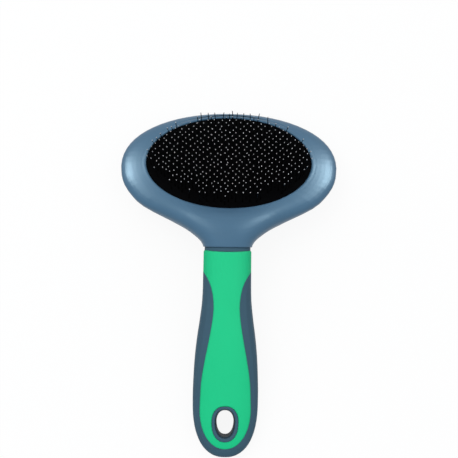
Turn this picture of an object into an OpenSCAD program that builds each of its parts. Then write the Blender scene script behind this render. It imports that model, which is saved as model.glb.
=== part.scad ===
// Oval slicker brush: moulded head, pad with bent wire staples and a two-colour handle.
// Millimetres. X runs across the head, Y from the handle's tip to the head, Z up.
// The brush lies on its back, with the wires up, on the far rim of its head and the tip of its handle.

/* [Head] */
// Width of the head across its ends
head_width = 115.6; // [90:0.2:140]
// From the middle of the pad to the far edge of the head
head_top = 33.2; // [32:0.1:44]
// From the collar to the middle of the pad, along the neck
neck_length = 47; // [45:0.1:60]
// Width of the neck at the collar
neck_width = 25.4; // [22:0.1:32]
// Angle between the pad and the handle
head_tilt = 28; // [0:1:40]
// Length of the curved part of the neck
neck_bend = 14; // [8:0.5:16]
// Height of the rim in front of the parting edge
front_height = 7.6; // [6.5:0.1:11]
// Depth of the head behind the parting edge
back_height = 9; // [8:0.1:14]
// Height of the neck at the collar, in front of and behind its middle
collar_height = 9.5; // [8.5:0.1:12]

/* [Pad] */
// Length of the pad opening
pad_length = 88.4; // [60:0.1:92]
// Height of the pad opening
pad_height = 56; // [40:0.1:57]
// Front of the lip round the pad
lip_front = 5.6; // [5:0.1:8]
// Thickness of the lip
lip_thick = 0.95; // [0.6:0.05:2]
// How far the lip reaches over the pad sheet
lip_reach = 2.3; // [1:0.1:3]
// Thickness of the pad sheet
sheet_thick = 2; // [1.2:0.1:3]
// Thickness of the foam cushion
foam_thick = 5; // [2:0.1:5.2]
// Wall of the back cap
cap_wall = 2.2; // [1.2:0.1:3]

/* [Pins] */
// Thickness of the wire
wire = 0.4; // [0.25:0.05:0.6]
// Distance between two columns of pins
column_pitch = 1.875; // [1.5:0.005:3]
// Distance between two rows of pins
row_pitch = 1.82; // [1.4:0.01:3]
// Straight length of a pin above the pad
pin_straight = 6; // [3:0.1:10]
// Length of a pin beyond its bend
pin_bent = 6.5; // [2:0.1:10]
// Angle of the bend, toward the handle
pin_angle = 12; // [0:1:30]
// From the edge of the pad to the outermost pins
pin_margin = 2.4; // [2:0.1:8]

/* [Handle] */
// Length of the handle from the collar to its tip
handle_length = 109.6; // [95:0.1:130]
// Width of the handle below the collar
handle_neck_width = 24.9; // [22:0.1:30]
// Width of the handle at its belly
handle_belly_width = 34.1; // [28:0.1:38]
// Thickness of the handle below the collar
handle_neck_thick = 18.6; // [16:0.1:22]
// Thickness of the handle at its belly
handle_belly_thick = 20.6; // [18:0.1:26]
// Length of the bare shoulder above the grip
shoulder = 1.7; // [1:0.1:5]
// How much smaller the shoulder is than the grip
shoulder_step = 0.5; // [0.2:0.1:1.5]
// How much farther down the grip starts on its front and back than on its sides
shoulder_arch = 0.7; // [0:0.1:1.5]
// Where the side bands start, from the collar
band_start = 13; // [10:0.1:18]
// Width of the hard border between the tongue and the tip
tip_border = 5; // [3:0.1:8]
// From the collar to the fullest place of the belly
belly_place = 80; // [65:0.5:84]
// Half width of the tongue at its waist
tongue_waist = 6.8; // [5:0.1:9]
// Half width of the tongue at its belly
tongue_belly = 13.3; // [10:0.1:14]
// Thickness of the soft grip
grip_thick = 2; // [1:0.1:3]

/* [Hang hole] */
// Width of the hang hole
hole_width = 8.9; // [6:0.1:10]
// Length of the hang hole
hole_length = 13.9; // [8:0.1:16]
// How much the hang hole narrows toward the tip, as a share of its width
hole_taper = 0.05; // [0:0.01:0.25]
// From the tip of the handle to the middle of the hang hole
hole_from_tip = 18.2; // [16:0.1:25]
// Wall of the hard rim round the hang hole
hole_rim = 2.4; // [1.6:0.1:3]
// Depth of the funnel at both ends of the hang hole
hole_funnel_depth = 3; // [0.5:0.1:4]
// Width of the funnel's slope
hole_funnel_width = 0.9; // [0.3:0.1:1.5]
// How far the rim stands out of the grip
rim_proud = 0.3; // [0:0.05:0.5]

/* [Tang] */
// Width of the tang inside the neck
tang_width = 13; // [8:0.1:16]
// Height of the tang inside the neck
tang_height = 7; // [5:0.1:8]
// Length of the tang inside the neck
tang_length = 11; // [6:0.1:12]

/* [Hidden] */
// Gap between pieces that are pressed or clamped together
fit = 0.05;
// Gap round the oval pieces that sit inside one another
seat_fit = 0.15;
// Gap round a wire in the pad sheet
wire_fit = 0.04;
// Half height of the flat parting edge of the head
edge_flat = 0.2;
// Round of the front edge of the lip
lip_round = 0.45;
// Roundness of the far half of the head's outline, and of its front, back and handle sections
top_power = 2.15;
front_power = 2.2;
back_power = 2.4;
handle_power = 2.2;
// Roundness of the ends of the handle and of the tongue, seen from the front
tip_power = 2.4;
tip_side_power = 2.9;
tongue_power = 2.1;
// Roundness of the hang hole
hole_power = 2.3;
// Rounded start of the grip: how much smaller it starts, and over what length it grows
sleeve_round = 0.45;
sleeve_ease = 0.8;
// How much nearer to the tip the tongue is fullest than the belly
tongue_lag = 4;
// Shares of a length where the two last rows of the tongue and of the handle stop short of a point
tongue_point = 0.002;
tip_point = 0.008;
// How far cutters reach beyond the skin, as a share of the handle's thickness
overshoot = 0.25;

head_half = head_width / 2;
neck_half = neck_width / 2;
pad_a = pad_length / 2;
pad_b = pad_height / 2;
pocket_a = pad_a + lip_reach;
pocket_b = pad_b + lip_reach;
lip_back = lip_front - lip_thick;
sheet_front = lip_back - fit;
sheet_back = sheet_front - sheet_thick;
crown_back = sheet_back - fit - wire;
foam_front = crown_back - fit;
foam_back = foam_front - foam_thick;
cap_rim = 2.1;
tongue_end = handle_length - tip_border;
tongue_full = belly_place + tongue_lag;
hole_place = handle_length - hole_from_tip;

// Flare of the neck: share of the neck's length, share of the step from neck to head
flare = [[0, 0], [0.05, 0.02], [0.107, 0.076], [0.214, 0.215], [0.321, 0.394], [0.428, 0.609],
         [0.514, 0.752], [0.6, 0.841], [0.728, 0.935], [0.857, 0.984], [1, 1]];
// Height of the front along the middle: share of the neck's length, share of the step from head to collar
front_fall = [[0, 1], [0.1, 0.96], [0.25, 0.6], [0.42, 0.12], [0.55, 0], [1, 0]];
// Growth of the handle from neck to belly: share of the way to the belly's end, share of the step
handle_swell = [[0, 0], [0.175, 0.02], [0.35, 0.09], [0.475, 0.33], [0.6, 0.63], [0.74, 0.86],
                [0.93, 1], [1, 1]];
// Thickness of the handle: share of its length, share of the step from neck to belly
handle_depth = [[0, 0], [0.2, 0.3], [0.38, 0.9], [0.5, 1], [0.64, 0.55], [0.8, -0.65], [1, -2]];
// Edge of the tongue: share of the way from the bands' start to its belly, share of belly minus waist
tongue_edge = [[0, 0.87], [0.04, 0.56], [0.1, 0.24], [0.2, 0.02], [0.3, 0.01], [0.45, 0.24],
               [0.65, 0.65], [0.8, 0.9], [1, 1]];

// Helpers

function mix(a, b, t) = a + (b - a) * t;
function power(v, p) = v <= 0 ? 0 : pow(v, p);
function flat(lists) = [for (l = lists) for (e = l) e];

// Smooth curve through the points of a table, as [place, value]
function segment(t, x, i = 0) = i >= len(t) - 2 || x < t[i + 1][0] ? i : segment(t, x, i + 1);
function slope(t, i) =
    i == 0 ? (t[1][1] - t[0][1]) / (t[1][0] - t[0][0])
    : i == len(t) - 1 ? (t[i][1] - t[i - 1][1]) / (t[i][0] - t[i - 1][0])
    : (t[i + 1][1] - t[i - 1][1]) / (t[i + 1][0] - t[i - 1][0]);
function hermite(a, b, ma, mb, u) =
    a * (2 * u * u * u - 3 * u * u + 1) + ma * (u * u * u - 2 * u * u + u)
    + b * (3 * u * u - 2 * u * u * u) + mb * (u * u * u - u * u);
function curve(t, x) =
    let (i = segment(t, x), w = t[i + 1][0] - t[i][0], u = (x - t[i][0]) / w)
    hermite(t[i][1], t[i + 1][1], slope(t, i) * w, slope(t, i + 1) * w, u);

// End cap of an outline that rounds off to nothing at u = 1
function round_off(u, p) = power(1 - power(u, p), 1 / p);
// Point of a rounded section with half sizes a and b
function section(a, b, p, t) =
    [a * sign(cos(t)) * power(abs(cos(t)), 2 / p), b * sign(sin(t)) * power(abs(sin(t)), 2 / p)];
function oval(a, b, n) = [for (i = [0 : n - 1]) [a * cos(360 * i / n), b * sin(360 * i / n)]];

// Neck bend: the straight neck is rolled down round an axis below it

bend_radius = head_tilt == 0 ? 0 : neck_bend * 180 / (PI * head_tilt);
function bend(p) =
    head_tilt == 0 || p[1] <= 0 ? p
    : let (t = min(p[1], neck_bend) / neck_bend * head_tilt, past = max(p[1] - neck_bend, 0))
    [p[0],
     (bend_radius + p[2]) * sin(t) + past * cos(t),
     (bend_radius + p[2]) * cos(t) - bend_radius - past * sin(t)];
pad_centre = bend([0, neck_length, 0]);

module at_head() {
    translate(pad_centre) rotate([-head_tilt, 0, 0]) children();
}

// Head: outline, front and back surfaces

function outline_half(s) = mix(neck_half, head_half, curve(flare, s / neck_length));
// How near a place is to the outline: 0 in the middle, 1 on it
function nearness(x, s) =
    s <= neck_length ? abs(x) / outline_half(s)
    : power(power(abs(x) / head_half, top_power)
            + power((s - neck_length) / head_top, top_power), 1 / top_power);
function fall(s) = s >= neck_length ? 0 : curve(front_fall, s / neck_length);
function front_surface(x, s) =
    mix(front_height, collar_height, fall(s)) * round_off(min(nearness(x, s), 1), front_power);
function back_surface(x, s) =
    -mix(back_height, collar_height, fall(s)) * round_off(min(nearness(x, s), 1), back_power);

// Height of the front with the rim brought level with the lip round the pad
lip_fade = 0.45;
function pad_distance(x, s) =
    sqrt(x * x / (pad_a * pad_a) + (s - neck_length) * (s - neck_length) / (pad_b * pad_b));
function lip_fit(x, s) =
    let (e = max(pad_distance(x, s), 1), u = min((e - 1) / lip_fade, 1),
         p = on_oval([x, s], pad_a + lip_round, pad_b + lip_round))
    (lip_front - front_surface(p[0], p[1])) * (1 - u) * (1 - u);
function front_point(p) =
    [p[0], p[1], max(front_surface(p[0], p[1]) + lip_fit(p[0], p[1]), edge_flat)];
function back_point(p) = [p[0], p[1], min(back_surface(p[0], p[1]), -edge_flat)];

// Point of the ray through a place on an oval round the middle of the pad
function on_oval(place, a, b) =
    let (v = place - [0, neck_length])
    [0, neck_length] + v / sqrt(v[0] * v[0] / (a * a) + v[1] * v[1] / (b * b));

// The rim is a fan of loops from the right side of the neck over the top to its left side
neck_top = 0.364 * neck_length;
side_steps = 10;
top_steps = 32;
front_steps = 8;
back_steps = 7;
side_ends = [for (i = [0 : side_steps - 1])
    let (s = mix(neck_top, neck_length, i / side_steps)) [outline_half(s), s]];
top_ends = [for (i = [0 : top_steps])
    section(head_half, head_top, top_power, 180 * i / top_steps) + [0, neck_length]];
ray_ends = concat(side_ends, top_ends,
                  [for (i = [side_steps - 1 : -1 : 0]) [-side_ends[i][0], side_ends[i][1]]]);
ray_count = len(ray_ends);
function lip_points(end) =
    let (inner = on_oval(end, pad_a, pad_b), pocket = on_oval(end, pocket_a, pocket_b))
    [[inner[0], inner[1], lip_front - lip_round],
     [inner[0], inner[1], lip_back],
     [pocket[0], pocket[1], lip_back]];
function rim_loop(end) =
    let (lip = on_oval(end, pad_a + lip_round, pad_b + lip_round),
         pocket = on_oval(end, pocket_a, pocket_b), inner = lip_points(end))
    concat(
        [inner[0]],
        [for (j = [0 : front_steps]) front_point(mix(lip, end, sin(90 * j / front_steps)))],
        [for (j = [back_steps : -1 : 0]) back_point(mix(pocket, end, sin(90 * j / back_steps)))],
        [inner[2], inner[1]]);
loop_count = front_steps + back_steps + 5;
function at_loop(i, j) = i * loop_count + j;
front_edge = front_steps + 1;
back_edge = front_steps + 2;
back_seat = back_steps + back_edge;

// The near side of the lip and of the pocket, between the first and the last loop
arc_steps = 12;
arc_start = atan2(side_ends[0][1] - neck_length, side_ends[0][0] * pad_b / pad_a);
function arc_place(i) =
    let (t = mix(-180 - arc_start, arc_start, i / arc_steps))
    [pad_a * cos(t), neck_length + pad_b * sin(t)];
arc_base = ray_count * loop_count;
arc_points = [for (i = [1 : arc_steps - 1])
    let (e = arc_place(i), inner = lip_points(e))
    each [front_point(on_oval(e, pad_a + lip_round, pad_b + lip_round)), inner[0], inner[1], inner[2],
          back_point(on_oval(e, pocket_a, pocket_b))]];
arc_loop = [1, 0, loop_count - 1, loop_count - 2, back_seat];
function at_arc(i, j) =
    i == 0 ? at_loop(ray_count - 1, arc_loop[j])
    : i == arc_steps ? at_loop(0, arc_loop[j])
    : arc_base + (i - 1) * 5 + j;

// The neck is a patch of rows on each face, from the collar to the near side of the rim
neck_rows = 10;
neck_base = arc_base + 5 * (arc_steps - 1);
function neck_row(r) = neck_top * power(r / neck_rows, 1.1);
// Blend of the four sides of the patch
function blend(u, t, low, high, left, right, corners) =
    mix(low, high, t) + mix(left, right, u)
    - mix(mix(corners[0], corners[1], u), mix(corners[2], corners[3], u), t);
function neck_place(steps, size_a, size_b, r, k) =
    let (count = 2 * steps + arc_steps, u = k / count, t = r / neck_rows, s = neck_row(r),
         end = side_ends[0], oval_end = on_oval(end, size_a, size_b), h = outline_half(s),
         q = k <= steps ? sin(90 * (steps - k) / steps) : sin(90 * (k - steps - arc_steps) / steps),
         near = mix(oval_end, end, q),
         high = k <= steps ? [-near[0], near[1]]
             : k >= steps + arc_steps ? near
             : on_oval(arc_place(k - steps), size_a, size_b))
    blend(u, t, [-neck_half * cos(180 * u), 0], high, [-h, s], [h, s],
          [[-neck_half, 0], [neck_half, 0], [-end[0], end[1]], end]);
front_columns = 2 * front_steps + arc_steps;
back_columns = 2 * back_steps + arc_steps;
neck_front = [for (r = [0 : neck_rows - 1]) for (k = [0 : front_columns])
    let (p = neck_place(front_steps, pad_a + lip_round, pad_b + lip_round, r, k))
    k == 0 || k == front_columns ? [p[0], p[1], edge_flat] : front_point(p)];
neck_back = [for (r = [0 : neck_rows - 1]) for (k = [0 : back_columns])
    let (p = neck_place(back_steps, pocket_a, pocket_b, r, k))
    k == 0 || k == back_columns ? [p[0], p[1], -edge_flat] : back_point(p)];
back_base = neck_base + len(neck_front);
function at_front(r, k) =
    r < neck_rows ? neck_base + r * (front_columns + 1) + k
    : k <= front_steps ? at_loop(ray_count - 1, front_edge - k)
    : k < front_steps + arc_steps ? at_arc(k - front_steps, 0)
    : at_loop(0, 1 + k - front_steps - arc_steps);
function at_back(r, k) =
    r < neck_rows ? back_base + r * (back_columns + 1) + k
    : k <= back_steps ? at_loop(ray_count - 1, back_edge + k)
    : k < back_steps + arc_steps ? at_arc(k - back_steps, 4)
    : at_loop(0, back_seat - (k - back_steps - arc_steps));

frame_points = concat([for (e = ray_ends) each rim_loop(e)], arc_points, neck_front, neck_back);
function four(a, b, c, d) = [[a, b, c], [a, c, d]];
rim_faces = [for (i = [0 : ray_count - 2]) for (j = [0 : loop_count - 1])
    let (j2 = (j + 1) % loop_count)
    each four(at_loop(i, j), at_loop(i + 1, j), at_loop(i + 1, j2), at_loop(i, j2))];
arc_faces = [for (i = [0 : arc_steps - 1]) for (j = [0 : 3])
    each four(at_arc(i, j), at_arc(i, j + 1), at_arc(i + 1, j + 1), at_arc(i + 1, j))];
// The halves of the neck mirror each other, down to the diagonals of their quads
function mirrored(k, columns, a, b, c, d) = k < columns / 2 ? four(b, c, d, a) : four(a, b, c, d);
neck_faces = concat(
    [for (r = [0 : neck_rows - 1]) for (k = [0 : front_columns - 1])
        each mirrored(k, front_columns,
                      at_front(r, k), at_front(r + 1, k), at_front(r + 1, k + 1), at_front(r, k + 1))],
    [for (r = [0 : neck_rows - 1]) for (k = [0 : back_columns - 1])
        each mirrored(k, back_columns,
                      at_back(r, k), at_back(r, k + 1), at_back(r + 1, k + 1), at_back(r + 1, k))],
    [for (r = [0 : neck_rows - 1]) each concat(
        four(at_front(r, 0), at_back(r, 0), at_back(r + 1, 0), at_front(r + 1, 0)),
        four(at_front(r, front_columns), at_front(r + 1, front_columns),
             at_back(r + 1, back_columns), at_back(r, back_columns)))],
    [concat([for (k = [front_columns : -1 : 0]) at_front(0, k)],
            [for (k = [0 : back_columns]) at_back(0, k)])]);

module tang(extra) {
    translate([-tang_width / 2 - extra, -handle_start, -tang_height / 2 - extra])
        cube([tang_width + 2 * extra, tang_length + handle_start + extra, tang_height + 2 * extra]);
}

module head_frame() {
    color("slategray") difference() {
        polyhedron([for (p = frame_points) bend(p)], concat(rim_faces, arc_faces, neck_faces),
                   convexity = 8);
        tang(fit);
    }
}

// Back cap: a dish with a rim that clamps the pad sheet from behind

cap_rays = 56;
cap_steps = 6;
cap_a = pocket_a - seat_fit;
cap_b = pocket_b - seat_fit;
function cap_place(a, b, q, t) = [a * q * cos(t), neck_length + b * q * sin(t)];
full_turn = 360;
function cap_loop(t) =
    let (rim = cap_place(cap_a, cap_b, 1, t), seat = cap_place(cap_a - cap_rim, cap_b - cap_rim, 1, t))
    concat(
        [for (j = [1 : cap_steps]) let (p = cap_place(cap_a, cap_b, j / cap_steps, t))
            [p[0], p[1], back_surface(p[0], p[1])]],
        [[rim[0], rim[1], sheet_back - fit], [seat[0], seat[1], sheet_back - fit]],
        [for (j = [cap_steps : -1 : 1])
            let (p = cap_place(cap_a - cap_rim, cap_b - cap_rim, j / cap_steps, t))
            [p[0], p[1], back_surface(p[0], p[1]) + cap_wall]]);
cap_count = 2 * cap_steps + 2;
cap_poles = [[0, neck_length, back_surface(0, neck_length)],
             [0, neck_length, back_surface(0, neck_length) + cap_wall]];
cap_points = concat([for (i = [0 : cap_rays - 1]) for (p = cap_loop(full_turn * (i + 0.5) / cap_rays)) p], cap_poles);
cap_faces = flat([for (i = [0 : cap_rays - 1])
    let (a = i * cap_count, b = (i + 1) % cap_rays * cap_count, last = cap_count - 1,
         pole = cap_rays * cap_count)
    concat([[pole, b, a], [pole + 1, a + last, b + last]],
           flat([for (j = [0 : cap_count - 2])
               [[a + j, b + j, b + j + 1], [a + j, b + j + 1, a + j + 1]]]))]);

module back_cap() {
    color("lightslategray") polyhedron([for (p = cap_points) bend(p)], cap_faces, convexity = 8);
}

// Pad: rubber sheet with a hole for each leg, foam and staples

legs_apart = 2 * row_pitch;
columns = floor((pad_a - pin_margin) / column_pitch);
rows = ceil((pad_b - pin_margin) / legs_apart / 2) + 1;
function in_field(p) =
    pow(p[0] / (pad_a - pin_margin), 2) + pow(p[1] / (pad_b - pin_margin), 2) <= 1;
// Middle of each staple's crown; every second column is staggered by one row
staples = [for (i = [-columns : columns]) for (j = [-rows : rows])
    let (x = i * column_pitch,
         v = 2 * j * legs_apart + (i % 2 == 0 ? 0 : i % 4 == 1 || i % 4 == -3 ? row_pitch : -row_pitch))
    if (in_field([x, v - legs_apart / 2]) && in_field([x, v + legs_apart / 2])) [x, v]];

module pad_sheet() {
    color("black") at_head() translate([0, 0, sheet_back]) linear_extrude(sheet_thick) difference() {
        polygon(oval(cap_a, cap_b, 96));
        for (p = staples) {
            translate([p[0], p[1] - legs_apart / 2]) circle(r = wire * sqrt(0.5) + wire_fit, $fn = 16);
            translate([p[0], p[1] + legs_apart / 2]) circle(r = wire * sqrt(0.5) + wire_fit, $fn = 16);
        }
    }
}

module foam_cushion() {
    color("dimgray") at_head() translate([0, 0, foam_back]) linear_extrude(foam_thick)
        polygon(oval(cap_a - cap_rim - seat_fit, cap_b - cap_rim - seat_fit, 48));
}

leg_foot = crown_back;
leg_bend = sheet_front + pin_straight;
tip_back = pin_bent * sin(pin_angle);
tip_up = pin_bent * cos(pin_angle);
function leg_right(v) = [[v + wire / 2, leg_bend], [v + wire / 2 - tip_back, leg_bend + tip_up]];
function leg_left(v) = [[v - wire / 2 - tip_back, leg_bend + tip_up], [v - wire / 2, leg_bend]];
staple_outline = concat(
    [[-(legs_apart + wire) / 2, leg_foot], [(legs_apart + wire) / 2, leg_foot]],
    leg_right(legs_apart / 2), leg_left(legs_apart / 2),
    [[(legs_apart - wire) / 2, leg_foot + wire], [-(legs_apart - wire) / 2, leg_foot + wire]],
    leg_right(-legs_apart / 2), leg_left(-legs_apart / 2));

module pins() {
    color("silver") at_head() for (p = staples)
        translate([p[0] - wire / 2, p[1], 0]) rotate([90, 0, 90]) linear_extrude(wire)
            polygon(staple_outline);
}

// Handle: rows of sections from the collar to the tip

handle_start = fit;
function tip_share(d) = max(d - belly_place, 0) / (handle_length - belly_place);
function handle_half(d) =
    mix(handle_neck_width, handle_belly_width, curve(handle_swell, min(d / belly_place, 1))) / 2
    * round_off(tip_share(d), tip_power);
function handle_thick(d) =
    mix(handle_neck_thick, handle_belly_thick, curve(handle_depth, min(d / handle_length, 1))) / 2
    * round_off(tip_share(d), tip_side_power);
function tongue_half(d) =
    mix(tongue_waist, tongue_belly, curve(tongue_edge, min((d - band_start) / (tongue_full - band_start), 1)))
    * round_off(max(d - tongue_full, 0) / (tongue_end - tongue_full) * (1 - tongue_point), tongue_power);

// Places of the rows: the shoulder, the sleeve, the tongue and the tip
tip_end = mix(handle_length, belly_place, tip_point);
sleeve_rows = 4;
band_rows = 18;
end_rows = 10;
tongue_rows = band_rows + end_rows;
tip_rows = 5;
handle_rows = concat(
    [handle_start, shoulder],
    [for (i = [1 : sleeve_rows]) mix(shoulder + sleeve_ease, band_start, (i - 1) / (sleeve_rows - 1))],
    [for (i = [1 : band_rows]) mix(band_start, tongue_full, power(i / band_rows, 1.2))],
    [for (i = [1 : end_rows]) mix(tongue_full, tongue_end, sin(90 * i / end_rows))],
    [for (i = [1 : tip_rows]) mix(tongue_end, tip_end, sin(90 * i / tip_rows))]);
first_sleeve = 1;
first_band = 1 + sleeve_rows;
last_tongue = first_band + tongue_rows;
row_count = len(handle_rows);

// Angle of the tongue's edge in the section at a row
function edge_angle(r) =
    let (d = handle_rows[r])
    r < first_band ? mix(24, 1.5, r / first_band)
    : r > last_tongue ? mix(82, 45, (r - last_tongue) / tip_rows)
    : acos(min(power(tongue_half(d) / handle_half(d), handle_power / 2), cos(1.5)));
band_cells = 6;
tongue_cells = 14;
ring_cells = 2 * (band_cells + tongue_cells);
function cell_angle(r, k) =
    let (e = edge_angle(r), half = band_cells + tongue_cells, side = k < half ? 0 : 180, m = k % half)
    side + (m <= band_cells ? -e + 2 * e * m / band_cells
            : e + (180 - 2 * e) * (m - band_cells) / tongue_cells);
function handle_point(r, k, inset) =
    let (d = handle_rows[r],
         p = section(handle_half(d) - inset, handle_thick(d) - inset, handle_power, cell_angle(r, k)))
    [p[0], -d - (r == first_sleeve ? shoulder_arch * pow(sin(cell_angle(r, k)), 2) : 0), p[1]];
// The grip covers the sleeve all round and the tongues beyond it
function has_grip(r, k) =
    r >= first_sleeve && r < last_tongue
    && (r < first_band || k % (band_cells + tongue_cells) >= band_cells);

function vertex(r, k) = r * ring_cells + k % ring_cells;
// The quarters of the ring mirror each other, down to the diagonals of their quads
function turned(k) = floor((k + tongue_cells / 2) / (ring_cells / 4)) % 2 == 1;
function outer_quad(r, k, o) =
    let (a = o + vertex(r, k), b = o + vertex(r + 1, k), c = o + vertex(r + 1, k + 1), d = o + vertex(r, k + 1))
    turned(k) ? four(b, c, d, a) : four(a, b, c, d);
function inner_quad(r, k, o) = reversed(outer_quad(r, k, o));
// Walls between the two layers, where the grip starts or ends
function across_wall(r, k, o, flip) =
    flip ? four(vertex(r, k), vertex(r, k + 1), o + vertex(r, k + 1), o + vertex(r, k))
    : four(vertex(r, k), o + vertex(r, k), o + vertex(r, k + 1), vertex(r, k + 1));
function along_wall(r, k, o, flip) =
    flip ? four(vertex(r, k), o + vertex(r, k), o + vertex(r + 1, k), vertex(r + 1, k))
    : four(vertex(r, k), vertex(r + 1, k), o + vertex(r + 1, k), o + vertex(r, k));
function grip_walls(o) = flat(flat([for (r = [0 : row_count - 2]) [for (k = [0 : ring_cells - 1])
    concat(
        r > 0 && has_grip(r, k) && !has_grip(r - 1, k) ? across_wall(r, k, o, true) : [],
        r > 0 && !has_grip(r, k) && has_grip(r - 1, k) ? across_wall(r, k, o, false) : [],
        has_grip(r, k) && !has_grip(r, k + ring_cells - 1) ? along_wall(r, k, o, true) : [],
        !has_grip(r, k) && has_grip(r, k + ring_cells - 1) ? along_wall(r, k, o, false) : [])]]));
function reversed(faces) = [for (f = faces) [f[2], f[1], f[0]]];

layer = row_count * ring_cells;
function layer_points(inset, step) = [for (r = [0 : row_count - 1]) for (k = [0 : ring_cells - 1])
    handle_point(r, k, inset + (r <= first_sleeve ? step : 0))];
core_points = concat(layer_points(0, shoulder_step), layer_points(grip_thick, 0),
                     [[0, -handle_start, 0], [0, -handle_length, 0]]);
core_cells = flat(flat([for (r = [0 : row_count - 2]) [for (k = [0 : ring_cells - 1])
    outer_quad(r, k, has_grip(r, k) ? layer : 0)]]));
core_ends = flat([for (k = [0 : ring_cells - 1])
    [[2 * layer, vertex(0, k), vertex(0, k + 1)],
     [2 * layer + 1, vertex(row_count - 1, k + 1), vertex(row_count - 1, k)]]]);
core_faces = concat(core_cells, grip_walls(layer), core_ends);

grip_points = concat(layer_points(0, sleeve_round), layer_points(grip_thick - fit, 0));
grip_cells = flat(flat([for (r = [0 : row_count - 2]) [for (k = [0 : ring_cells - 1])
    has_grip(r, k) ? concat(outer_quad(r, k, 0), inner_quad(r, k, layer)) : []]]));
grip_faces = concat(grip_cells, reversed(grip_walls(layer)));

// Hang hole: a hard oval rim through the grip, with a funnel at both ends of the hole

hole_half = handle_thick(hole_place);
hole_cut = overshoot * hole_half;
hole_sides = 44;
function hole_outline(extra) =
    [for (i = [0 : hole_sides - 1])
        let (p = section(hole_width / 2 + extra, hole_length / 2 + extra, hole_power,
                         full_turn * (i + 0.5) / hole_sides))
        [p[0] * (1 + hole_taper * p[1] / (hole_length / 2 + extra)), p[1]]];
module hole_prism(extra) {
    translate([0, -hole_place, -hole_half - hole_cut]) linear_extrude(2 * (hole_half + hole_cut))
        polygon(hole_outline(extra));
}
module hole_funnel(turn) {
    translate([0, -hole_place, 0]) rotate([0, turn, 0]) translate([0, 0, hole_half - hole_funnel_depth])
        linear_extrude(hole_funnel_depth + hole_cut,
                       scale = [1 + funnel_spread / hole_width, 1 + funnel_spread / hole_length])
            polygon(hole_outline(0));
}
funnel_spread = 2 * hole_funnel_width * (hole_funnel_depth + hole_cut) / hole_funnel_depth;
// A stretch of the handle, a little proud of its skin, that gives the rim its outer ends
rim_beyond = 1;
rim_rows = 8;
rim_cells = 30;
rim_reach = hole_length / 2 + hole_rim + rim_beyond;
rim_body_points = flat([for (r = [0 : rim_rows])
    let (d = hole_place + rim_reach * (2 * r / rim_rows - 1))
    [for (k = [0 : rim_cells - 1])
        let (p = section(handle_half(d) + rim_proud, handle_thick(d) + rim_proud, handle_power,
                         full_turn * k / rim_cells))
        [p[0], -d, p[1]]]]);
rim_body_faces = concat(
    flat([for (r = [0 : rim_rows - 1]) for (k = [0 : rim_cells - 1])
        let (a = r * rim_cells + k, b = r * rim_cells + (k + 1) % rim_cells)
        [[a, a + rim_cells, b + rim_cells], [a, b + rim_cells, b]]]),
    [[for (k = [0 : rim_cells - 1]) k], [for (k = [rim_cells - 1 : -1 : 0]) rim_rows * rim_cells + k]]);

module hole_rim_solid() {
    intersection() {
        polyhedron(rim_body_points, rim_body_faces, convexity = 4);
        hole_prism(hole_rim);
    }
}

module handle_core() {
    color("slategray") difference() {
        union() {
            polyhedron(core_points, core_faces, convexity = 8);
            tang(0);
            hole_rim_solid();
        }
        hole_prism(0);
        hole_funnel(0);
        hole_funnel(180);
    }
}

module grip() {
    color("mediumseagreen") difference() {
        polyhedron(grip_points, grip_faces, convexity = 8);
        hole_prism(hole_rim + fit);
    }
}

// Rest: the brush is turned until its head and the tip of its handle touch the floor

back_line = [for (i = [0 : 60]) let (s = (neck_length + head_top) * i / 60) bend([0, s, back_surface(0, s)])];
// The underside of the handle's skin and of the hole's rim, between the hole and the rim's far edge
skin_line = [for (d = handle_rows) [0, -d, -handle_thick(d)]];
rim_line = [for (p = rim_body_points)
    if (p[1] < -hole_place - hole_length / 2 && p[1] > -hole_place - hole_length / 2 - hole_rim) p];
tip_line = concat(skin_line, rim_line);
rest_slope = max([for (a = tip_line) min([for (b = back_line) (b[2] - a[2]) / (b[1] - a[1])])]);
rest_angle = -atan(rest_slope);
function rested(p) = [p[0], p[1] * cos(rest_angle) - p[2] * sin(rest_angle),
                      p[1] * sin(rest_angle) + p[2] * cos(rest_angle)];
rest_points = [for (p = concat([for (q = frame_points) bend(q)], core_points, tip_line)) rested(p)];
rest_y = (min([for (p = rest_points) p[1]]) + max([for (p = rest_points) p[1]])) / 2;
rest_z = min([for (p = rest_points) p[2]]);

module at_rest() {
    translate([0, -rest_y, -rest_z]) rotate([rest_angle, 0, 0]) children();
}

at_rest() head_frame();
at_rest() back_cap();
at_rest() pad_sheet();
at_rest() foam_cushion();
at_rest() pins();
at_rest() handle_core();
at_rest() grip();
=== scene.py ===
import math
import random

import bpy
from mathutils import Matrix, Vector


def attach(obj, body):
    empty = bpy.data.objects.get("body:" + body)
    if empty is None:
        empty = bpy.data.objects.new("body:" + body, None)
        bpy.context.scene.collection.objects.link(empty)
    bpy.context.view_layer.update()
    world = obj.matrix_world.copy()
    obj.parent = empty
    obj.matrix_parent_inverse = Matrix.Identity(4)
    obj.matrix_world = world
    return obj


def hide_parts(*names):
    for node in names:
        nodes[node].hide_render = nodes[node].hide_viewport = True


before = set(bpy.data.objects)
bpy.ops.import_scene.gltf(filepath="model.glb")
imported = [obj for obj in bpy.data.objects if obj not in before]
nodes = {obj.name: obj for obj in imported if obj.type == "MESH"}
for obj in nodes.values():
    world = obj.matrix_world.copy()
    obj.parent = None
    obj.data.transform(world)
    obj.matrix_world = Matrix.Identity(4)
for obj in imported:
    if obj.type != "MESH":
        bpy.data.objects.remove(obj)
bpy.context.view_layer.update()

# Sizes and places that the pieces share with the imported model, in millimetres

MILLIMETRE = 0.001
# The brush is modelled along its handle, then turned and moved to where it lies
REST_ANGLE = math.radians(10.2984)
REST_Y = -15.3911
REST_Z = -24.9464
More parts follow.
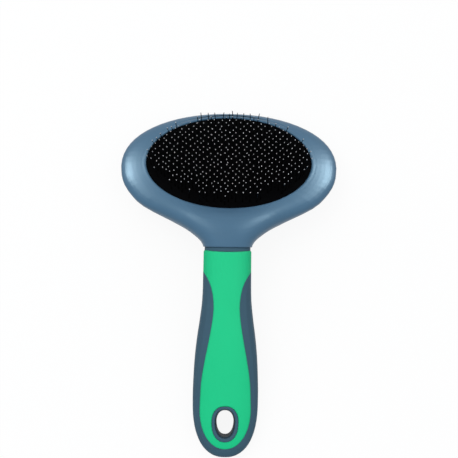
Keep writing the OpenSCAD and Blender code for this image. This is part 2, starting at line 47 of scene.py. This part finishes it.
# The neck bends back over its first stretch and goes on straight to the middle of the pad
HEAD_TILT = math.radians(28)
NECK_LENGTH = 47.0
NECK_BEND = 14.0
BEND_RADIUS = NECK_BEND / HEAD_TILT
PAST_BEND = NECK_LENGTH - NECK_BEND
PAD_CENTRE = Vector((
    0,
    BEND_RADIUS * math.sin(HEAD_TILT) + PAST_BEND * math.cos(HEAD_TILT),
    BEND_RADIUS * (math.cos(HEAD_TILT) - 1) - PAST_BEND * math.sin(HEAD_TILT)))
PAD_A = 88.4 / 2
PAD_B = 56.0 / 2
# Heights over the middle of the pad, out of the head
LIP_FRONT = 5.6
LIP_THICK = 0.95
CLAMP_GAP = 0.05
SHEET_THICK = 2.0
SHEET_FRONT = LIP_FRONT - LIP_THICK - CLAMP_GAP
SHEET_BACK = SHEET_FRONT - SHEET_THICK
# Wire and the rows that it stands in
ROW_PITCH = 1.82
COLUMN_PITCH = 1.875
PIN_MARGIN = 2.4
PIN_STRAIGHT = 6.0
PIN_BENT = 6.5
PIN_ANGLE = math.radians(12)
WIRE = 0.4


def rested(p):
    """A point of the brush, in millimetres along its handle, as it lies, in metres."""
    turned = Matrix.Rotation(REST_ANGLE, 3, "X") @ Vector(p)
    return (turned - Vector((0, REST_Y, REST_Z))) * MILLIMETRE


def on_head(x, v, w):
    """A point of the tilted head: across, up the pad and out of it."""
    return rested(PAD_CENTRE + Matrix.Rotation(-HEAD_TILT, 3, "X") @ Vector((x, v, w)))


def add_mesh(name, points, faces, smooth):
    mesh = bpy.data.meshes.new(name)
    mesh.from_pydata([tuple(p) for p in points], [], faces)
    mesh.validate()
    for polygon in mesh.polygons:
        polygon.use_smooth = smooth
    piece = bpy.data.objects.new(name, mesh)
    bpy.context.scene.collection.objects.link(piece)
    return piece


# Materials: noise scales are per metre, depths, radii and heights in metres

CLOUD_SCALE = 60
WEAR_SCALE = 140
WIRE_WEAR_SCALE = 2000
TIP_SCALE = 700
PAPER_SCALE = 600
PAPER_DEPTH = 0.00002
BEVEL_SAMPLES = 12
HOLE_SAMPLES = 8
# Open shares, out of 1, at which the painted shade inside a hole is darkest and where it isn't
# darkened
HOLE_CLOSED = 0.5
HOLE_OPEN = 0.95
# Heights over the pad where the painted shade on the wire starts to fade and where it is gone
SHADE_FADE_HEIGHT = 0.004
UNSHADED_HEIGHT = 0.0125


def new_material(name):
    material = bpy.data.materials.new(name)
    material.use_nodes = True
    tree = material.node_tree
    shader = tree.nodes["Principled BSDF"]
    return material, tree, shader


def noise(tree, scale, detail=2.0):
    coordinates = tree.nodes.new("ShaderNodeTexCoord")
    texture = tree.nodes.new("ShaderNodeTexNoise")
    texture.inputs["Scale"].default_value = scale
    texture.inputs["Detail"].default_value = detail
    tree.links.new(coordinates.outputs["Object"], texture.inputs["Vector"])
    return texture.outputs["Fac"]


def ranged(tree, value, low, high, start=0.3, end=0.7):
    """A value taken from its own range, by default a noise's, to another range."""
    node = tree.nodes.new("ShaderNodeMapRange")
    node.inputs["From Min"].default_value = start
    node.inputs["From Max"].default_value = end
    node.inputs["To Min"].default_value = low
    node.inputs["To Max"].default_value = high
    tree.links.new(value, node.inputs["Value"])
    return node.outputs["Result"]


def tinted(tree, value, dark, light):
    node = tree.nodes.new("ShaderNodeMix")
    node.data_type = "RGBA"
    node.inputs["A"].default_value = (*dark, 1)
    node.inputs["B"].default_value = (*light, 1)
    tree.links.new(value, node.inputs["Factor"])
    return node.outputs["Result"]


def bumped(tree, shader, value, distance):
    node = tree.nodes.new("ShaderNodeBump")
    node.inputs["Strength"].default_value = 1.0
    node.inputs["Distance"].default_value = distance
    tree.links.new(value, node.inputs["Height"])
    tree.links.new(node.outputs["Normal"], shader.inputs["Normal"])
    return node


def softened(tree, bump, radius):
    """Round the edges and even out the curves of a moulded surface."""
    node = tree.nodes.new("ShaderNodeBevel")
    node.samples = BEVEL_SAMPLES
    node.inputs["Radius"].default_value = radius
    tree.links.new(node.outputs["Normal"], bump.inputs["Normal"])


def moulded(name, colour, rough, rough_spread, grain, grain_depth, shift=0.06, sheen=0.5, edge=0.0):
    """Plastic, rubber or foam with a fine grain, clouds in its colour and uneven wear in its gloss."""
    material, tree, shader = new_material(name)
    dark = [c * (1 - shift) for c in colour]
    light = [c * (1 + shift) for c in colour]
    tree.links.new(
        tinted(tree, noise(tree, CLOUD_SCALE, 3), dark, light),
        shader.inputs["Base Color"])
    tree.links.new(
        ranged(tree, noise(tree, WEAR_SCALE, 3), rough - rough_spread, rough + rough_spread),
        shader.inputs["Roughness"])
    bump = bumped(tree, shader, noise(tree, grain), grain_depth)
    if edge:
        softened(tree, bump, edge)
    shader.inputs["Specular IOR Level"].default_value = sheen
    return material


def paint_shade_inside(material, reach, least):
    """Painted shade: darken the colour inside a hole, where little light comes."""
    tree = material.node_tree
    shader = tree.nodes["Principled BSDF"]
    colour = shader.inputs["Base Color"].links[0].from_socket
    open_share = tree.nodes.new("ShaderNodeAmbientOcclusion")
    open_share.samples = HOLE_SAMPLES
    open_share.only_local = True
    open_share.inputs["Distance"].default_value = reach
    share = ranged(tree, open_share.outputs["AO"], least, 1.0, start=HOLE_CLOSED, end=HOLE_OPEN)
    scaled = tree.nodes.new("ShaderNodeVectorMath")
    scaled.operation = "SCALE"
    tree.links.new(colour, scaled.inputs[0])
    tree.links.new(share, scaled.inputs["Scale"])
    tree.links.new(scaled.outputs["Vector"], shader.inputs["Base Color"])


def head_blue():
    material = moulded("head_plastic", (0.055, 0.130, 0.217), rough=0.36, rough_spread=0.02,
                       grain=2600, grain_depth=0.000010, edge=0.0013)
    shader = material.node_tree.nodes["Principled BSDF"]
    shader.inputs["Specular Tint"].default_value = (0.60, 0.86, 1.0, 1)
    return material


def core_blue():
    material = moulded("core_plastic", (0.049, 0.107, 0.154), rough=0.55, rough_spread=0.04,
                       grain=3200, grain_depth=0.00003, sheen=0.1, edge=0.0010)
    # Painted shade inside the hang hole, darkest where the hole is most closed in
    paint_shade_inside(material, reach=0.012, least=0.25)
    return material


def above_pad(tree):
    """Height over the pad, in metres, along the head's own tilt."""
    coordinates = tree.nodes.new("ShaderNodeTexCoord")
    along = tree.nodes.new("ShaderNodeVectorMath")
    along.operation = "DOT_PRODUCT"
    foot = on_head(0, 0, SHEET_FRONT)
    up = (on_head(0, 0, SHEET_FRONT + 1) - foot).normalized()
    along.inputs[1].default_value = up
    tree.links.new(coordinates.outputs["Object"], along.inputs[0])
    height = tree.nodes.new("ShaderNodeMath")
    height.operation = "SUBTRACT"
    height.inputs[1].default_value = foot.dot(up)
    tree.links.new(along.outputs["Value"], height.inputs[0])
    return height.outputs["Value"]


def wire_steel():
    """Steel wire with painted shade that darkens it toward its foot, where the pins shade each other.
    """
    material, tree, shader = new_material("pin_steel")
    shader.inputs["Metallic"].default_value = 1.0
    # Painted shade: the wire's colour goes from dark at the pad to light higher up
    unshaded = ranged(tree, above_pad(tree), 0.0, 1.0, start=SHADE_FADE_HEIGHT, end=UNSHADED_HEIGHT)
    tree.links.new(
        tinted(tree, unshaded, dark=(0.20, 0.205, 0.215), light=(0.50, 0.51, 0.53)),
        shader.inputs["Base Color"])
    tree.links.new(
        ranged(tree, noise(tree, WIRE_WEAR_SCALE), low=0.10, high=0.18),
        shader.inputs["Roughness"])
    return material


def tip_steel():
    """Rounded tips, which scatter the light and differ a little in brightness."""
    material, tree, shader = new_material("pin_tips")
    shader.inputs["Metallic"].default_value = 0.4
    shader.inputs["Roughness"].default_value = 0.35
    tree.links.new(
        tinted(tree, noise(tree, TIP_SCALE), dark=(0.24, 0.245, 0.26), light=(0.56, 0.57, 0.59)),
        shader.inputs["Base Color"])
    return material


head_plastic = head_blue()
core_plastic = core_blue()
grip_rubber = moulded("grip_rubber", (0.006, 0.575, 0.240), rough=0.66, rough_spread=0.04,
                      grain=3600, grain_depth=0.00004, shift=0.03, sheen=0.2, edge=0.0010)
pad_rubber = moulded("pad_rubber", (0.0010, 0.0011, 0.0015), rough=0.9, rough_spread=0.05,
                     grain=2400, grain_depth=0.00006, sheen=0.02)
cushion_foam = moulded("cushion_foam", (0.02, 0.02, 0.022), rough=0.9, rough_spread=0.04,
                       grain=1500, grain_depth=0.0003)
pin_steel = wire_steel()
pin_tips = tip_steel()


def dress(node, material):
    piece = nodes[node]
    piece.data.materials.clear()
    piece.data.materials.append(material)
    for polygon in piece.data.polygons:
        polygon.material_index = 0
        polygon.use_smooth = True


for node, material in (("head_frame", head_plastic), ("back_cap", head_plastic),
                       ("pad_sheet", pad_rubber), ("foam_cushion", cushion_foam),
                       ("handle_core", core_plastic), ("grip", grip_rubber)):
    dress(node, material)


# Pins: each staple has two legs and a crown of round wire, scattered a little as bent wire is

FIELD_A = PAD_A - PIN_MARGIN
FIELD_B = PAD_B - PIN_MARGIN
STAGGERS = (0, ROW_PITCH, 0, -ROW_PITCH)
LEAN_SCATTER = math.radians(1.1)
SWAY_SCATTER = math.radians(1.3)
BEND_SCATTER = math.radians(1.5)
STRAIGHT_SPREAD = 0.2
# How far a leg at the edge of the pad leans outward, and how much more its bent part sways
FAN = math.radians(9)
BENT_SWAY = 1.4
# Change of the bent length, which never gets longer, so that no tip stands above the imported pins
BENT_LEAST = -0.4
BENT_MOST = -0.03
# Depth of a leg's foot below the face of the sheet
FOOT_DEPTH = 0.2
# Distances from the bend, along both parts, where the wire starts to curve and where it curves most
BEND_EASE = 0.7
BEND_BELOW = 0.2
BEND_ABOVE = 0.15
# Shares of the straight and of the bent part where each has one more ring
STRAIGHT_RING = 0.5
BENT_RING = 0.55
# Length of the tip, of its rounded end, and the share of the width that is left at its face
TIP_LENGTH = 0.7
TIP_ROUND = 0.1
TIP_STEPS = 2
TIP_WIDTH = 0.75
# Roundness of the crown's corners
CORNER = 0.35
CORNER_MIDDLE = 0.1
# The eight flats of a leg lie about on the round wire, and its corners outside
LEG_SIDES = 8
LEG_RADIUS = WIRE * 0.56
CROWN_SIDES = 6
CROWN_RADIUS = WIRE / 2
SCATTER_SEED = 11


def in_field(x, v):
    return (x / FIELD_A) ** 2 + (v / FIELD_B) ** 2 <= 1


def staple_places():
    """Middles of the staples that have both legs in the field."""
    legs_apart = 2 * ROW_PITCH
    columns = int(FIELD_A / COLUMN_PITCH)
    rows = math.ceil(FIELD_B / legs_apart / 2) + 1
    for i in range(-columns, columns + 1):
        for j in range(-rows, rows + 1):
            x = i * COLUMN_PITCH
            v = 2 * j * legs_apart + STAGGERS[i % 4]
            if in_field(x, v - legs_apart / 2) and in_field(x, v + legs_apart / 2):
                yield x, v


def leg_path(x, v, chance):
    """From the foot in the sheet up to the tip, in the head's own millimetres."""
    lean = chance.gauss(0, LEAN_SCATTER) + FAN * max(v / PAD_B, 0) ** 3
    sway = chance.gauss(0, SWAY_SCATTER) + FAN * (x / PAD_A) ** 3
    angle = PIN_ANGLE + chance.gauss(0, BEND_SCATTER)
    straight = PIN_STRAIGHT + chance.uniform(-STRAIGHT_SPREAD, STRAIGHT_SPREAD)
    bent = PIN_BENT + chance.uniform(BENT_LEAST, BENT_MOST)
    foot = Vector((x, v, SHEET_FRONT - FOOT_DEPTH))
    up = Vector((math.sin(sway), math.sin(lean), 1)).normalized()
    bend = foot + up * (straight + FOOT_DEPTH)
    over = Vector((math.sin(sway * BENT_SWAY), math.sin(lean - angle), math.cos(angle))).normalized()
    tip = bend + over * bent
    return [
        foot,
        foot + up * straight * STRAIGHT_RING,
        bend - up * BEND_EASE,
        bend - up * BEND_BELOW + over * BEND_ABOVE,
        bend + over * BEND_EASE,
        bend + over * bent * BENT_RING,
        tip - over * TIP_LENGTH,
        tip - over * TIP_ROUND,
        tip]


def crown_path(x, v):
    """The wire between the two feet of a staple, behind the sheet."""
    crown = SHEET_BACK - CLAMP_GAP - WIRE / 2
    half = (
        (ROW_PITCH, SHEET_FRONT - FOOT_DEPTH),
        (ROW_PITCH, crown + CORNER),
        (ROW_PITCH - CORNER_MIDDLE, crown + CORNER_MIDDLE),
        (ROW_PITCH - CORNER, crown))
    return ([Vector((x, v - along, height)) for along, height in half]
            + [Vector((x, v + along, height)) for along, height in reversed(half)])


def add_wire(path, sides, radius, hint, tip_steps, points, faces, tips):
    """Closed round wire along a path. The last steps of a leg are its tip, which ends narrower."""
    start = len(points)
    for i, p in enumerate(path):
        ahead = (path[min(i + 1, len(path) - 1)] - path[max(i - 1, 0)]).normalized()
        side = ahead.cross(hint).normalized()
        other = ahead.cross(side)
        width = TIP_WIDTH if tip_steps and i == len(path) - 1 else 1
        for k in range(sides):
            a = 2 * math.pi * k / sides
            points.append(on_head(*(p + (side * math.cos(a) + other * math.sin(a)) * radius * width)))
    for i in range(len(path) - 1):
        for k in range(sides):
            a = start + i * sides + k
            b = start + i * sides + (k + 1) % sides
            faces.append((a, b, b + sides, a + sides))
            tips.append(i >= len(path) - 1 - tip_steps)
    last = start + (len(path) - 1) * sides
    faces.append(tuple(range(last, last + sides)))
    tips.append(tip_steps > 0)
    faces.append(tuple(reversed(range(start, start + sides))))
    tips.append(False)


def make_pins():
    chance = random.Random(SCATTER_SEED)
    points, faces, tips = [], [], []
    for x, v in staple_places():
        for side in (-1, 1):
            leg = leg_path(x, v + side * ROW_PITCH, chance)
            add_wire(leg, LEG_SIDES, LEG_RADIUS, Vector((0, 1, 0)), TIP_STEPS, points, faces, tips)
        crown = crown_path(x, v)
        add_wire(crown, CROWN_SIDES, CROWN_RADIUS, Vector((1, 0, 0)), 0, points, faces, tips)
    piece = add_mesh("wire_pins", points, faces, smooth=True)
    piece.data.materials.append(pin_steel)
    piece.data.materials.append(pin_tips)
    for polygon, tip in zip(piece.data.polygons, tips):
        polygon.material_index = 1 if tip else 0
    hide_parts("pins")
    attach(piece, "root")


make_pins()


# Camera: it looks straight down at the handle, from a distance in millimetres, and is rolled a little

PRINCIPAL_X = 0.6
PRINCIPAL_Y = 9.4
DISTANCE = 650.0
PIXEL = 0.522
PICTURE_PIXELS = 458
SENSOR = 36
ROLL = math.radians(0.85)
CLIP_END = 20


def place_camera():
    data = bpy.data.cameras.new("camera")
    camera = bpy.data.objects.new("camera", data)
    bpy.context.scene.collection.objects.link(camera)
    bpy.context.scene.camera = camera
    data.sensor_width = SENSOR
    data.lens = SENSOR * DISTANCE / (PIXEL * PICTURE_PIXELS)
    data.clip_end = CLIP_END
    spot = rested((PRINCIPAL_X, PRINCIPAL_Y, DISTANCE))
    camera.matrix_world = (Matrix.Translation(spot) @ Matrix.Rotation(REST_ANGLE, 4, "X")
                           @ Matrix.Rotation(ROLL, 4, "Z"))


place_camera()


# Floor

FLOOR_HALF = 3
FLOOR_WHITE = 0.90


def seen(tree):
    """1 for what the camera, a mirror or a clear piece sees, else 0."""
    path = tree.nodes.new("ShaderNodeLightPath")
    either = tree.nodes.new("ShaderNodeMath")
    either.operation = "MAXIMUM"
    tree.links.new(path.outputs["Is Camera Ray"], either.inputs[0])
    tree.links.new(path.outputs["Is Glossy Ray"], either.inputs[1])
    any_ray = tree.nodes.new("ShaderNodeMath")
    any_ray.operation = "MAXIMUM"
    tree.links.new(either.outputs["Value"], any_ray.inputs[0])
    tree.links.new(path.outputs["Is Transmission Ray"], any_ray.inputs[1])
    return any_ray.outputs["Value"]


def white_seen(tree, shader, share):
    """Show plain white, by a share, to the rays that see the surface. The rest keeps the shadow."""
    factor = tree.nodes.new("ShaderNodeMath")
    factor.operation = "MULTIPLY"
    factor.inputs[1].default_value = share
    tree.links.new(seen(tree), factor.inputs[0])
    white = tree.nodes.new("ShaderNodeEmission")
    white.inputs["Strength"].default_value = 1.0
    mix = tree.nodes.new("ShaderNodeMixShader")
    tree.links.new(factor.outputs["Value"], mix.inputs["Fac"])
    tree.links.new(shader.outputs["BSDF"], mix.inputs[1])
    tree.links.new(white.outputs["Emission"], mix.inputs[2])
    tree.links.new(mix.outputs["Shader"], tree.nodes["Material Output"].inputs["Surface"])


def floor_paper():
    """White paper that throws little light back up at the brush."""
    material, tree, shader = new_material("floor_paper")
    shader.inputs["Roughness"].default_value = 0.9
    tree.links.new(
        tinted(tree, seen(tree), dark=(0.12, 0.12, 0.12), light=(0.9, 0.9, 0.9)),
        shader.inputs["Base Color"])
    bumped(tree, shader, noise(tree, PAPER_SCALE), PAPER_DEPTH)
    white_seen(tree, shader, FLOOR_WHITE)
    return material


floor_corners = [(x * FLOOR_HALF, y * FLOOR_HALF, 0) for x, y in ((-1, -1), (1, -1), (1, 1), (-1, 1))]
floor = add_mesh("floor", floor_corners, [(0, 1, 2, 3)], smooth=False)
floor.data.materials.append(floor_paper())


# Light: a key lamp and the sky light the colours, and two small lamps give only the rim's highlights

HEAD_SPOT = Vector((0, 0.06, 0.03))
SKY_COLOUR = (0.86, 0.88, 0.90, 1)
WHITE = (1, 1, 1, 1)
HORIZON_LEVEL = 0.45
ZENITH_LEVEL = 1.30


def area(name, place, along, size, power):
    """Square soft lamp that faces the head, with one side along a direction."""
    data = bpy.data.lights.new(name, "AREA")
    data.shape = "SQUARE"
    data.size = size
    data.energy = power
    lamp = bpy.data.objects.new(name, data)
    bpy.context.scene.collection.objects.link(lamp)
    back = (Vector(place) - HEAD_SPOT).normalized()
    up = Vector(along)
    up = (up - back * up.dot(back)).normalized()
    side = up.cross(back)
    turn = Matrix((side, up, back)).transposed()
    lamp.matrix_world = Matrix.Translation(place) @ turn.to_4x4()
    return lamp


key = area("key", place=(-0.35, 0.25, 0.95), along=(1, 0, 0), size=0.6, power=2.0)
key.visible_glossy = False
for name, place, size, power in (("glint_left", (-0.60, 0.565, 0.475), 0.22, 7.0),
                                 ("glint_right", (0.59, 0.57, 0.505), 0.30, 9.5)):
    glint = area(name, place, (0, 0, 1), size, power)
    glint.visible_diffuse = False


def light_sky():
    """A sky that is seen as white, and lights the brush more from above than from the side."""
    world = bpy.data.worlds.new("studio")
    bpy.context.scene.world = world
    world.use_nodes = True
    tree = world.node_tree
    sky = tree.nodes["Background"]
    sky.inputs["Color"].default_value = SKY_COLOUR
    way = tree.nodes.new("ShaderNodeTexCoord")
    axes = tree.nodes.new("ShaderNodeSeparateXYZ")
    tree.links.new(way.outputs["Generated"], axes.inputs["Vector"])
    level = ranged(tree, axes.outputs["Z"], HORIZON_LEVEL, ZENITH_LEVEL, start=0.0, end=1.0)
    tree.links.new(level, sky.inputs["Strength"])
    white = tree.nodes.new("ShaderNodeBackground")
    white.inputs["Color"].default_value = WHITE
    mix = tree.nodes.new("ShaderNodeMixShader")
    tree.links.new(seen(tree), mix.inputs["Fac"])
    tree.links.new(sky.outputs["Background"], mix.inputs[1])
    tree.links.new(white.outputs["Background"], mix.inputs[2])
    tree.links.new(mix.outputs["Shader"], tree.nodes["World Output"].inputs["Surface"])


light_sky()
bpy.context.scene.view_settings.view_transform = "Standard"
